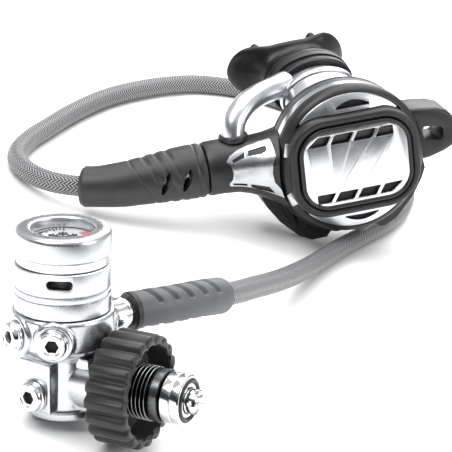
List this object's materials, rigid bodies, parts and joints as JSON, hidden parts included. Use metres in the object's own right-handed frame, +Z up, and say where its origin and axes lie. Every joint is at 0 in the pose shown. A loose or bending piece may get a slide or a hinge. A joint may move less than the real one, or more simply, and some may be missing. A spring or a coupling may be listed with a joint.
{
  "type": "scuba regulator set",
  "caption": "DIN first stage with turret and handwheel, one curved low-pressure hose and a round metal second stage with purge button, bypass tube and mouthpiece",
  "frame": {"origin": "middle of the footprint of the two stages, on the table they stand on", "axes": "+Z up from the table; +Y from the first stage in front to the second stage behind; +X to the right, the way the second stage's valve points from its hose"},
  "size_m": [0.226, 0.4786, 0.0938],
  "materials": {
    "satin_metal": "satin chromed brass, fine blasted",
    "bright_metal": "polished chrome plate",
    "brass": "machined",
    "spring_steel": "drawn wire and pressed strip",
    "black_plastic": "moulded, fine grain",
    "grey_plastic": "moulded, fine grain",
    "black_rubber": "moulded, matte",
    "grey_rubber": "moulded, matte",
    "pale_silicone": "moulded silicone, smooth"
  },
  "bodies": {
    "first_stage": {"first_stage_body": "satin_metal", "base_plug": "satin_metal", "high_pressure_spring": "spring_steel", "main_diaphragm": "black_rubber", "diaphragm_pad": "satin_metal", "main_spring": "spring_steel", "spring_adjuster": "brass", "load_plate": "black_plastic", "outer_diaphragm": "pale_silicone", "spring_housing": "satin_metal", "end_cap": "satin_metal", "low_pressure_plug_front": "bright_metal", "low_pressure_plug_left": "bright_metal", "low_pressure_plug_rear": "bright_metal", "high_pressure_plug_front": "bright_metal", "high_pressure_plug_rear": "bright_metal", "din_retainer": "bright_metal", "inlet_filter": "brass", "filter_retainer": "bright_metal", "din_o_ring": "black_rubber", "first_hose_fitting": "bright_metal", "second_hose_fitting": "bright_metal", "hose": "black_rubber", "first_hose_protector": "grey_rubber", "second_hose_protector": "black_rubber"},
    "second_stage": {"case_band": "satin_metal", "case_back": "grey_plastic", "mouthpiece_tube": "satin_metal", "cover_ring": "black_plastic", "upper_crescent": "satin_metal", "lower_crescent": "satin_metal", "demand_diaphragm": "pale_silicone", "valve_barrel": "bright_metal", "inlet_orifice": "brass", "poppet_spring": "spring_steel", "spring_nut": "brass", "inlet_shroud": "black_plastic", "shroud_plate": "satin_metal", "bypass_tube": "satin_metal", "mouthpiece": "black_rubber", "mouthpiece_clamp": "black_plastic", "exhaust_cover": "black_plastic", "exhaust_valve": "pale_silicone", "side_cap": "black_plastic"},
    "handwheel": {"handwheel": "black_rubber", "din_threaded_sleeve": "grey_plastic"},
    "main_valve": {"high_pressure_poppet": "black_plastic", "valve_pin": "bright_metal"},
    "purge_button": {"purge_plate": "bright_metal", "purge_rim": "black_rubber"},
    "diaphragm_plate": {"diaphragm_plate": "bright_metal"},
    "demand_lever": {"demand_lever": "spring_steel"},
    "demand_poppet": {"demand_poppet": "black_plastic"}
  },
  "joints": [
    {"name": "handwheel_turn", "type": "hinge", "parent": "first_stage", "child": "handwheel", "pos_m": [-0.04601, -0.15447, 0.02556], "axis": [0.8698, -0.4375, 0.228], "continuous": true},
    {"name": "main_valve_slide", "type": "slide", "parent": "first_stage", "child": "main_valve", "axis": [0.2037, -0.1024, -0.9737], "range_m": [0, 0.0005], "stiffness_N_per_m": 2000},
    {"name": "second_stage_swivel", "type": "hinge", "parent": "first_stage", "child": "second_stage", "pos_m": [-0.02469, 0.08325, 0.03009], "axis": [0.9174, 0.2497, 0.3099], "range_deg": [-5, 5]},
    {"name": "purge_press", "type": "slide", "parent": "second_stage", "child": "purge_button", "axis": [-0.2215, 0.9673, -0.1236], "range_m": [0, 0.003], "stiffness_N_per_m": 400},
    {"name": "diaphragm_slide", "type": "slide", "parent": "second_stage", "child": "diaphragm_plate", "axis": [-0.2215, 0.9673, -0.1236], "range_m": [0, 0.003]},
    {"name": "lever_tip", "type": "hinge", "parent": "second_stage", "child": "demand_lever", "pos_m": [0.06154, 0.10673, 0.05922], "axis": [0.3307, -0.0447, -0.9427], "range_deg": [0, 9]},
    {"name": "poppet_slide", "type": "slide", "parent": "second_stage", "child": "demand_poppet", "axis": [0.9174, 0.2497, 0.3099], "range_m": [0, 0.0011]}
  ],
  "couplings": [
    {"joint": "diaphragm_slide", "follows": "purge_press", "ratio": 1},
    {"joint": "lever_tip", "follows": "purge_press", "rad_per_m": 47.6},
    {"joint": "poppet_slide", "follows": "purge_press", "ratio": 0.333}
  ]
}
